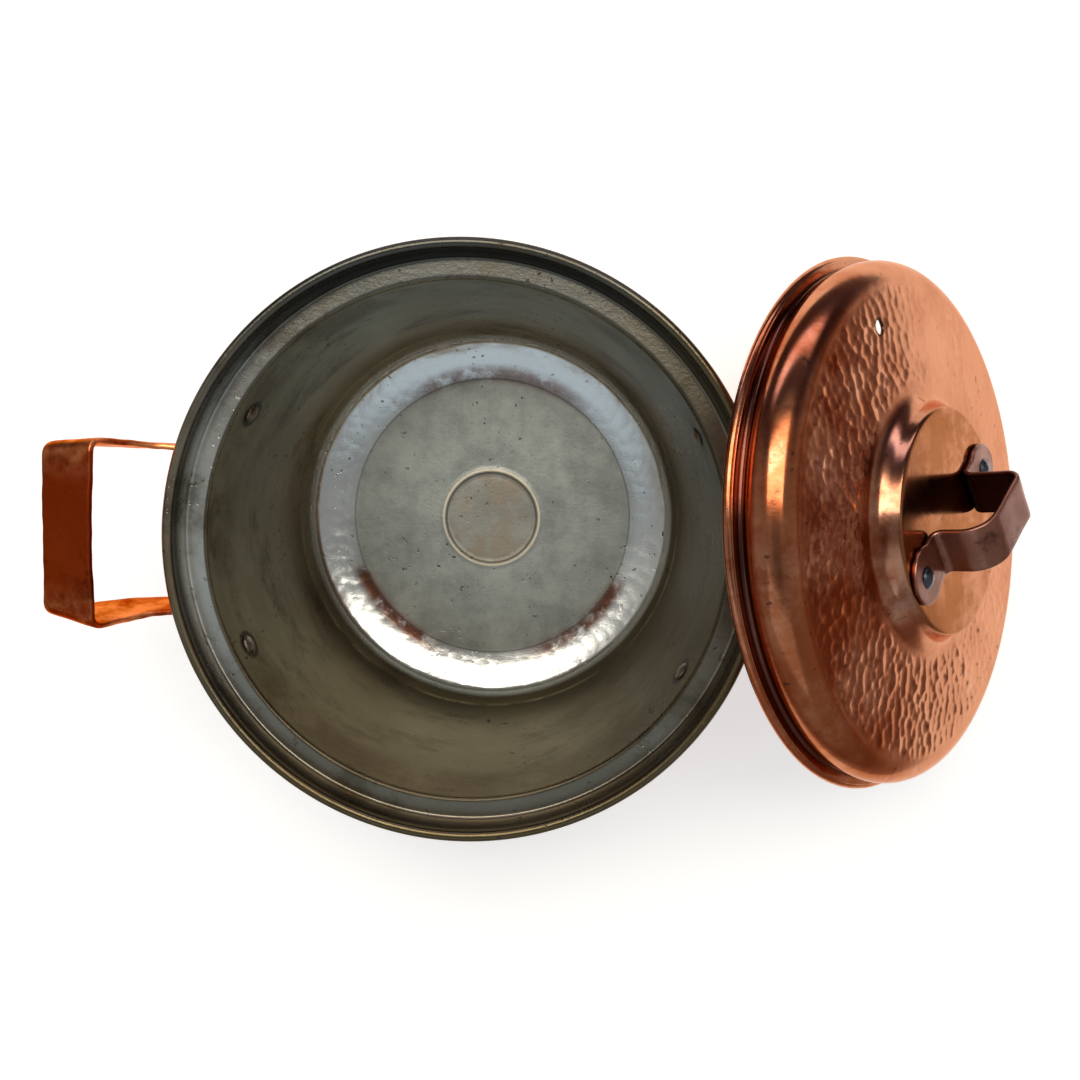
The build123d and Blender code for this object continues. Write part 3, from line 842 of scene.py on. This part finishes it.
def bar_pair(step):
    inner, outer = corner_pair(1)
    across = (outer - inner) / np.linalg.norm(outer - inner)
    side = np.array((1, 1 - step, 1))
    return inner * side + across * np.array((1, 0, 1)) * WAIST * sin(radians(90 * step)), outer * side


def strap_rails():
    """Both edges of the whole strap, from one foot's end to the other's."""
    half = []
    for pair, count in ((foot_pair, 16), (turn_pair, 14), (leg_pair, 34), (corner_pair, 10)):
        half += [pair(t) for t in np.linspace(0, 1, count)[:-1]]
    half = np.array(half + [bar_pair(t) for t in np.linspace(0, 1, 24)])
    rails = np.concatenate([half, half[:-1][::-1] * np.array((1, -1, 1))])
    for _ in range(3):
        smooth = rails.copy()
        smooth[1:-1] = (rails[:-2] + 2 * rails[1:-1] + rails[2:]) / 4
        rails = smooth
    return rails[:, 0], rails[:, 1]


def make_side_handle(name, flip, seed):
    inner, outer = strap_rails()
    middles = (inner + outer) / 2
    widths = np.linalg.norm(outer - inner, axis=1)
    travelled = np.concatenate([[0], np.cumsum(np.linalg.norm(np.diff(middles, axis=0), axis=1))])
    for i, s in enumerate(travelled):
        end = min(s, travelled[-1] - s)
        if end < FOOT_ROUND:
            half = sqrt(max(FOOT_ROUND ** 2 - (FOOT_ROUND - end) ** 2, END_HALF ** 2))
            widths[i] -= 2 * (FOOT_ROUND - half)
    phase = np.random.default_rng(seed).uniform(0, 2 * pi, 6)

    def lump(i, x):
        """Shallow waves along and across the strap, lower towards its edges."""
        s = travelled[i]
        along = sin(s * 0.31 + phase[0]) * 0.10 + sin(s * 0.73 + phase[1]) * 0.06
        return along + 0.08 * np.sin(x * 0.35 + s * 0.17 + phase[2]) - CROWN * x ** 2

    made = strap(name, middles, outer - inner, widths, STRAP_T, strap_copper, STRAP_EDGE, lump)
    if flip:
        made.data.transform(Matrix.Scale(-1, 4, (1, 0, 0)))
        made.data.flip_normals()
    return made


for side, flip, seed in (("left", True, 5), ("right", False, 6)):
    handle = make_side_handle("strap_handle_" + side, flip, seed)
    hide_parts("handle_" + side)
    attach(handle, "pot")


# ------------------------------------------------------------------ rivets
def turned_rivet(name, grip, shank, head, inner_rise, outer_rise, stand_off, material, seed):
    """Rivet with two hammered domes: shank and head are radii, grip the thickness it holds, all in mm."""

    def dome(seat, rise):
        ball = (head ** 2 + rise ** 2) / (2 * abs(rise))
        reach = degrees(asin(head / ball))
        side = 1 if rise > 0 else -1
        run = arc((0, 0), ball, 90, 90 - reach, 0.25)
        run[:, 1] = seat + side * (run[:, 1] - ball) + rise
        return run

    top = dome(grip, outer_rise)
    low = dome(-stand_off, -inner_rise)[::-1]
    profile = join(top, line((head, grip), (shank, grip), 0.5), line((shank, grip), (shank, -stand_off), 0.6),
                   line((shank, -stand_off), (head, -stand_off), 0.5), low)
    phase = np.random.default_rng(seed).uniform(0, 2 * pi, 8)

    def lift(points, theta):
        r = points[:, 0:1]
        flats = np.cos(3 * theta + phase[0]) * 0.5 + np.cos(5 * theta + phase[1]) * 0.35
        flats = flats + np.cos(2 * theta + phase[2])
        strength = smooth_step(r, shank + 0.2, head)
        dent = np.cos(r * 1.4 + phase[3]) * np.cos(2 * theta + phase[4]) * smooth_step(r, 0.3, 1.5)
        return -0.10 * strength * (1.6 + flats) - 0.05 * np.abs(dent)

    return turned(name, profile, lift, 48, lambda point: 0, [material])


def place(made, origin, x_axis, z_axis):
    """Moves a piece made about its own axis to where it belongs, and keeps its own places as an attribute."""
    z_axis = Vector(z_axis).normalized()
    x_axis = Vector(x_axis).normalized()
    y_axis = z_axis.cross(x_axis)
    own = made.data.attributes.new("own", "FLOAT_VECTOR", "POINT")
    flat = np.empty(len(made.data.vertices) * 3, np.float32)
    made.data.vertices.foreach_get("co", flat)
    own.data.foreach_set("vector", flat)
    made.data.transform(Matrix((
        (x_axis.x, y_axis.x, z_axis.x, origin[0] * MM),
        (x_axis.y, y_axis.y, z_axis.y, origin[1] * MM),
        (x_axis.z, y_axis.z, z_axis.z, origin[2] * MM),
        (0, 0, 0, 1),
    )))


PAN_SHANK = 2.35
PAN_HEAD = 3.85
PAN_HEAD_RISE = 1.25
reach = wall_r(RIVET_Z)
for seed, (name, angle) in enumerate(rivet_angles.items(), 31):
    a = radians(angle)
    piece = turned_rivet("hammered_rivet_" + name, SHEET + STRAP_T - SINK, PAN_SHANK, PAN_HEAD, PAN_HEAD_RISE,
                         PAN_HEAD_RISE, (PAN_HEAD + 0.05) ** 2 / (2 * reach) + 0.01, pan_rivet, seed)
    outward = (cos(LEAN_OUT) * cos(a), cos(LEAN_OUT) * sin(a), -sin(LEAN_OUT))
    place(piece, (reach * cos(a), reach * sin(a), RIVET_Z), (-sin(a), cos(a), 0), outward)
    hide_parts("rivet_" + name)
    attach(piece, "pot")


# ------------------------------------------------------------------ lid
GROOVE_ROUND = 1.4
GROOVE_TURN = 35.0
SHOULDER_ROUND = 9.6
PANEL_R = 87.9
EDGE_ROUND = 1.4
SIDE_ANGLE = 70.0
SIDE_LENGTH = 3.0
BOSS_FOOT = 7.0
LID_BEAD_SHY = 0.03
LID_BEAD_STEP = 0.3
LID_CURL_END = -172
bead_top = 2 * LID_BEAD
groove_a = radians(GROOVE_TURN)
shoulder_at = (PANEL_R, bead_top + GROOVE_ROUND * (1 + sin(groove_a)) + SHOULDER_ROUND * sin(groove_a))
lid_bead_at = (lid_ring, LID_BEAD)


def lid_run(depth):
    """One skin of the lid's sheet, depth mm below the outer one, from the top of the boss to the brim."""
    top = BOSS_H - depth
    edge_r = EDGE_ROUND - depth
    a = radians(SIDE_ANGLE)
    edge_at = (BOSS_R - EDGE_ROUND, top - edge_r)
    edge = arc(edge_at, edge_r, 90, 90 - SIDE_ANGLE, 0.25)
    side_end = (edge[-1][0] + SIDE_LENGTH * cos(a), edge[-1][1] - SIDE_LENGTH * sin(a))
    foot_r = BOSS_FOOT + depth
    foot_at = (side_end[0] + foot_r * sin(a), side_end[1] + foot_r * cos(a))
    foot = arc(foot_at, foot_r, 180 + 90 - SIDE_ANGLE, 267, 0.5)
    shoulder = arc(shoulder_at, SHOULDER_ROUND - depth, 90, -GROOVE_TURN, 0.5)
    groove_r = GROOVE_ROUND + depth
    start = shoulder[-1]
    groove_at = (start[0] + groove_r * cos(groove_a), start[1] - groove_r * sin(groove_a))
    groove = arc(groove_at, groove_r, 180 - GROOVE_TURN, 270, 0.25)
    return join(
        line((0, top), (edge_at[0], top), 1.4),
        edge,
        line(edge[-1], side_end, 0.5),
        foot,
        line(foot[-1], shoulder[0], 0.8),
        shoulder,
        groove,
        line(groove[-1], (lid_ring, bead_top - depth), 0.4),
    )


lid_outer = lid_run(0.0)
lid_inner = lid_run(LID_SHEET)
lid_profile = join(
    lid_outer,
    arc(lid_bead_at, LID_BEAD - LID_BEAD_SHY, 90, LID_CURL_END, LID_BEAD_STEP),
    arc(lid_bead_at, LID_WIRE + WIRE_GAP, LID_CURL_END, 90, LID_BEAD_STEP),
    lid_inner[::-1],
)
lid_outer_count = len(lid_outer)


def lid_lift(profile, theta):
    """Hammer blows on both skins, deeper on one side, and a slow sag of the panel."""
    r = profile[:, 0]
    outer = np.arange(len(r)) < lid_outer_count
    lift = np.zeros((len(r), len(theta)))
    deeper = 0.45 + 0.80 * smooth_step(np.cos(theta - radians(215)), -0.75, -0.05)
    for skin, sign in ((outer, 1.0), (~outer, -1.0)):
        rows = skin & (r < 95.0) & (r > 40)
        order = np.argsort(r[rows], kind="stable")
        rr = r[rows][order]
        blows = np.zeros((len(rr), len(theta)))
        blows[order] = deeper * hammer(rr, rr, theta, start=52.0, end=86.5, pitch=3.3, across=5.2, ball=20,
                                       seed=77, jitter=0.38, uneven=0.10, fade=2.0)
        lift[rows] = sign * blows
    panel = smooth_step(r, 45, 60) * (1 - smooth_step(r, 80, 92)) * np.where(outer, 1.0, -1.0)
    return lift + panel[:, None] * ripple(theta, 8, 6, 0.12)[None]


lid = turned("lid_dome", lid_profile, lid_lift, pan_turns, lambda point: 0, [lid_copper])

cutter_mesh = bpy.data.meshes.new("vent_cut")
cut = bmesh.new()
bmesh.ops.create_cone(cut, cap_ends=True, segments=40, radius1=VENT_R * MM, radius2=VENT_R * MM, depth=0.02,
                      matrix=Matrix.Translation((VENT_AT[0] * MM, VENT_AT[1] * MM, 0.018)))
cut.to_mesh(cutter_mesh)
cut.free()
cutter = in_scene("vent_cut", cutter_mesh)
hole = lid.modifiers.new("vent", "BOOLEAN")
hole.operation = "DIFFERENCE"
hole.solver = "EXACT"
hole.object = cutter
bpy.context.view_layer.update()
bored = bpy.data.meshes.new_from_object(lid.evaluated_get(bpy.context.evaluated_depsgraph_get()))
lid.modifiers.clear()
lid.data = bored
bpy.data.objects.remove(cutter)
bpy.data.meshes.remove(cutter_mesh)
lid.data.polygons.foreach_set("use_smooth", [True] * len(lid.data.polygons))
place(lid, lid_zero, x_lid, n_lid)
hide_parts("lid_shell")
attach(lid, "lid")


# ------------------------------------------------------------------ lid handle
def rounded(points, radii, step):
    """Path through points with each inner corner rounded, with a point about every step mm."""
    points = [np.array(p, float) for p in points]
    made = [points[0]]
    for i in range(1, len(points) - 1):
        before = (points[i - 1] - points[i]) / np.linalg.norm(points[i - 1] - points[i])
        after = (points[i + 1] - points[i]) / np.linalg.norm(points[i + 1] - points[i])
        half = np.arccos(np.clip(before @ after, -1, 1)) / 2
        reach = radii[i - 1] / tan(half)
        centre = points[i] + (before + after) / np.linalg.norm(before + after) * radii[i - 1] / sin(half)
        start = points[i] + before * reach
        end = points[i] + after * reach
        a0 = atan2(*(start - centre)[::-1])
        a1 = atan2(*(end - centre)[::-1])
        turn = (a1 - a0 + pi) % (2 * pi) - pi
        for t in np.linspace(0, 1, max(5, int(abs(turn) * radii[i - 1] / step))):
            a = a0 + turn * t
            made.append(centre + radii[i - 1] * np.array((cos(a), sin(a))))
    made.append(points[-1])
    dense = [made[0]]
    for p, q in zip(made[:-1], made[1:]):
        count = max(1, int(round(np.linalg.norm(q - p) / step)))
        for k in range(1, count + 1):
            dense.append(p + (q - p) * k / count)
    return np.array(dense)


ARCH_T = 1.9
ARCH_W = 18.0
ARCH_HALF = 41.4
ARCH_EDGE = 0.6
ARCH_LEFT = 19.4
ARCH_RIGHT = 21.0
FOOT_R = 10.6
FOOT_MIDDLE = ARCH_HALF - FOOT_R
NECK = 17.4
NECK_END = NECK + 4
turn_a = radians(28.0)
mid = ARCH_T / 2
right = NECK - 0.6
arch_corners = [(-NECK, mid), (-NECK, ARCH_LEFT), (right, ARCH_RIGHT), (right, mid)]
path = rounded([(-ARCH_HALF, mid), *arch_corners, (ARCH_HALF, mid)], radii=[3.2, 10.0, 4.5, 3.2], step=0.8)
foot_turns = np.sin(np.radians(np.linspace(8, 90, 16))) * FOOT_R + FOOT_MIDDLE
path = path[np.abs(path[:, 0]) < foot_turns[0]]
foot_end = np.stack([foot_turns, np.full(len(foot_turns), mid)], 1)
path = np.concatenate([foot_end[::-1] * np.array((-1, 1)), path, foot_end])
middles = np.stack([path[:, 0] * cos(turn_a), path[:, 0] * sin(turn_a), path[:, 1] + BOSS_H], 1)
sideways = np.tile(np.array((-sin(turn_a), cos(turn_a), 0.0)), (len(path), 1))
arch_widths = np.full(len(path), ARCH_W)
for i, s in enumerate(np.abs(path[:, 0])):
    past = min(abs(s - FOOT_MIDDLE), FOOT_R)
    if s > NECK_END:
        foot_width = 2 * sqrt(max(FOOT_R ** 2 - past ** 2, 0.15))
        arch_widths[i] = foot_width if s > FOOT_MIDDLE else max(ARCH_W, foot_width)
lid_handle = strap("arched_lid_handle", middles, sideways, arch_widths, ARCH_T, dark_copper, ARCH_EDGE,
                   lambda i, x: 0.05 * np.sin(x * 0.5 + i * 0.13) + 0.05 * sin(i * 0.31))
place(lid_handle, lid_zero, x_lid, n_lid)
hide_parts("lid_handle")
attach(lid_handle, "lid")

LID_SHANK = 2.15
LID_HEAD = 4.15
LID_HEAD_RISE = 1.68
LID_TAIL_RISE = 1.0
LID_RIVET_OUT = 32.2
for name, along, seed in (("upper", -LID_RIVET_OUT, 41), ("lower", LID_RIVET_OUT, 42)):
    piece = turned_rivet("lid_rivet_head_" + name, LID_SHEET + ARCH_T, LID_SHANK, LID_HEAD, LID_TAIL_RISE,
                         LID_HEAD_RISE, 0.0, lid_rivet, seed)
    at = lid_zero + (x_lid * cos(turn_a) + y_lid * sin(turn_a)) * along + n_lid * (BOSS_H - LID_SHEET)
    place(piece, at, x_lid, n_lid)
    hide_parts("lid_rivet_" + name)
    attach(piece, "lid")

for node in ("rim_wire", "lid_wire"):
    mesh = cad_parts[node].data
    mesh.materials.clear()
    mesh.materials.append(wire)


# ------------------------------------------------------------------ floor, light, camera
GROUND_R = 0.41
GROUND_SIDES = 120
GROUND_AT = (0.03, -0.03, -0.0003)


def floor_material():
    g = Graph("pale_floor")
    g.put(g.bsdf.inputs["Base Color"], g.mix(g.noise(6, 3, 0.5), (0.80, 0.80, 0.80), (0.84, 0.84, 0.84)))
    g.bsdf.inputs["Roughness"].default_value = 0.9
    g.bsdf.inputs["Emission Color"].default_value = (1, 1, 1, 1)
    g.bsdf.inputs["Emission Strength"].default_value = 0.50
    return g.material


ground_mesh = bpy.data.meshes.new("ground")
ground_turns = [radians(k * 360 / GROUND_SIDES) for k in range(GROUND_SIDES)]
ground_mesh.from_pydata([(GROUND_R * cos(a), GROUND_R * sin(a), 0) for a in ground_turns], [],
                        [tuple(range(GROUND_SIDES))])
ground_mesh.materials.append(floor_material())
ground = in_scene("ground", ground_mesh)
ground.location = GROUND_AT


def soft_box(name, at, wide, high, glow, color):
    """Rectangular light that faces the pan's rim, with the given brightness per area."""
    light = bpy.data.lights.new(name, "AREA")
    light.shape = "RECTANGLE"
    light.size = wide
    light.size_y = high
    light.energy = glow * pi * wide * high
    light.color = color
    made = in_scene(name, light)
    made.location = at
    made.rotation_mode = "QUATERNION"
    made.rotation_quaternion = (Vector((0.0, 0.0, 0.05)) - Vector(at)).to_track_quat("-Z", "Y")


soft_box("ceiling_window", (0.0, 0.53, 1.05), wide=1.15, high=0.50, glow=5.2, color=(1.0, 0.95, 0.82))
soft_box("front_wall", (-0.10, -0.68, 1.0), wide=1.3, high=0.72, glow=0.42, color=(0.66, 0.86, 1.0))

# colours of the room from straight down (0) over the horizon (0.5) to straight up (1)
ROOM = (
    (0.0, (0.10, 0.09, 0.09)), (0.28, (0.42, 0.36, 0.33)), (0.37, (0.36, 0.29, 0.26)),
    (0.42, (0.20, 0.12, 0.09)), (0.50, (0.26, 0.21, 0.19)), (0.60, (0.34, 0.34, 0.33)),
    (0.90, (0.27, 0.28, 0.28)), (0.970, (0.22, 0.23, 0.23)), (0.988, (0.13, 0.13, 0.13)),
    (1.0, (0.11, 0.11, 0.11)),
)
DARK_WALL = (0.035, 0.022, 0.034)
BRIGHT_WALL = (1.9, 1.75, 2.1)


def studio_world():
    """Dim room, darkest straight overhead; towards +Y a dark wall with a bright low window."""
    world = bpy.data.worlds.new("studio")
    bpy.context.scene.world = world
    world.use_nodes = True
    g = Nodes(world.node_tree)
    out = g.node("OutputWorld")
    _, y, z = g.node("SeparateXYZ", Vector=g.node("TexCoord").outputs["Generated"]).outputs
    room = g.node("ValToRGB", Fac=g.ramp(z, -1.0, 1.0, smooth=False))
    stops = room.color_ramp.elements
    for stop, (at, color) in zip(stops, (ROOM[0], ROOM[-1])):
        stop.position = at
        stop.color = (*color, 1)
    for at, color in ROOM[1:-1]:
        stops.new(at).color = (*color, 1)
    towards_back = g.times(g.ramp(y, 0.25, 0.60, 0.0, 0.92), g.ramp(z, 0.50, 0.72, 1.0, 0.0))
    color = g.mix(towards_back, room.outputs[0], DARK_WALL)
    low_window = g.times(g.ramp(z, 0.04, 0.12), g.ramp(z, 0.26, 0.36, 1.0, 0.0), g.ramp(y, 0.70, 0.90))
    color = g.mix(low_window, color, BRIGHT_WALL)
    g.put(out.inputs[0], g.node("Background", Color=color).outputs[0])


studio_world()

camera_data = bpy.data.cameras.new("camera")
camera_data.lens = 33.333
camera_data.sensor_width = 36.0
camera_data.clip_start = 0.01
camera = in_scene("camera", camera_data)
camera.location = (0.04465, 0.05365, 0.46615)
camera.rotation_euler = (radians(-7.5515), radians(3.0092), radians(2.8914))
bpy.context.scene.camera = camera
bpy.context.scene.view_settings.view_transform = "Standard"
